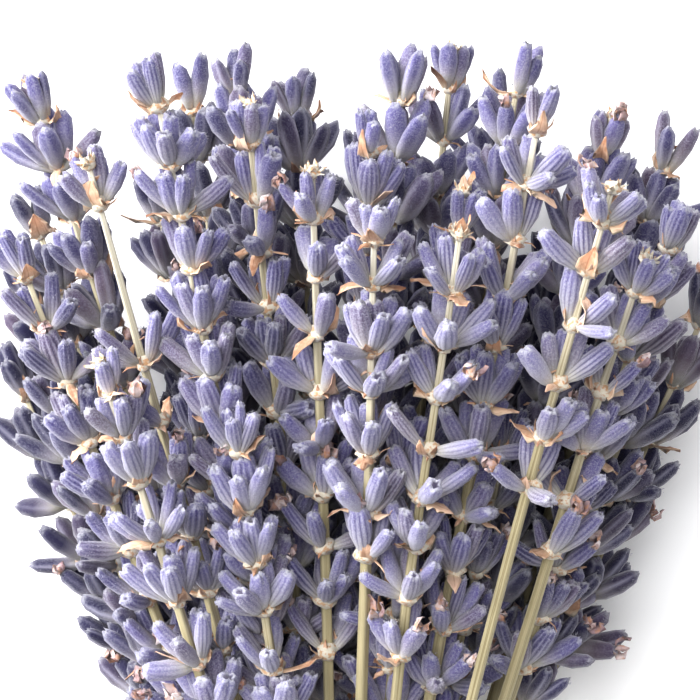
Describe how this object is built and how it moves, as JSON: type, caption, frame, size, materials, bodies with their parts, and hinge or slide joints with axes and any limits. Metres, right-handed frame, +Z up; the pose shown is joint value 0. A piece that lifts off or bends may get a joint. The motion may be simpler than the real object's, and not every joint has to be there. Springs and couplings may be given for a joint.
{
  "type": "bunch of dried lavender",
  "caption": "Bunch of dried lavender lying on its side: square straw-coloured stems fan out from a twine tie to spikes of ribbed violet calyces.",
  "frame": {"origin": "under the middle of the whole bunch, on the surface that it lies on", "axes": "+Y along the bunch from the cut ends of the stems to the flower spikes, +Z up, +X across"},
  "size_m": [0.0824, 0.2886, 0.0529],
  "materials": {
    "calyx": "dry, ribbed and finely hairy, matt",
    "stem": "dry straw, four-angled and finely grooved, satin",
    "bract": "papery, veined, matt",
    "twine": "twisted plant fibre, hairy, matt"
  },
  "bodies": {
    "root": {"spike_01": "calyx", "spike_02": "calyx", "spike_03": "calyx", "spike_04": "calyx", "spike_05": "calyx", "spike_06": "calyx", "spike_07": "calyx", "spike_08": "calyx", "spike_09": "calyx", "spike_10": "calyx", "spike_11": "calyx", "spike_12": "calyx", "spike_13": "calyx", "spike_14": "calyx", "spike_15": "calyx", "spike_16": "calyx", "spike_17": "calyx", "spike_18": "calyx", "spike_19": "calyx", "spike_20": "calyx", "spike_21": "calyx", "spike_22": "calyx", "spike_23": "calyx", "spike_24": "calyx", "spike_25": "calyx", "spike_26": "calyx", "spike_27": "calyx", "spike_28": "calyx", "spike_29": "calyx", "spike_30": "calyx", "spike_31": "calyx", "spike_32": "calyx", "spike_33": "calyx", "spike_34": "calyx", "spike_35": "calyx", "spike_36": "calyx", "spike_37": "calyx", "spike_38": "calyx", "spike_39": "calyx", "spike_40": "calyx", "spike_41": "calyx", "spike_42": "calyx", "spike_43": "calyx", "spike_44": "calyx", "spike_45": "calyx", "spike_46": "calyx", "spike_47": "calyx", "spike_48": "calyx", "spike_49": "calyx", "spike_50": "calyx", "stems_01": "stem", "stems_02": "stem", "stems_03": "stem", "stems_04": "stem", "stems_05": "stem", "stems_06": "stem", "stems_07": "stem", "twine_tie": "twine", "twine_knot": "twine"}
  },
  "joints": []
}
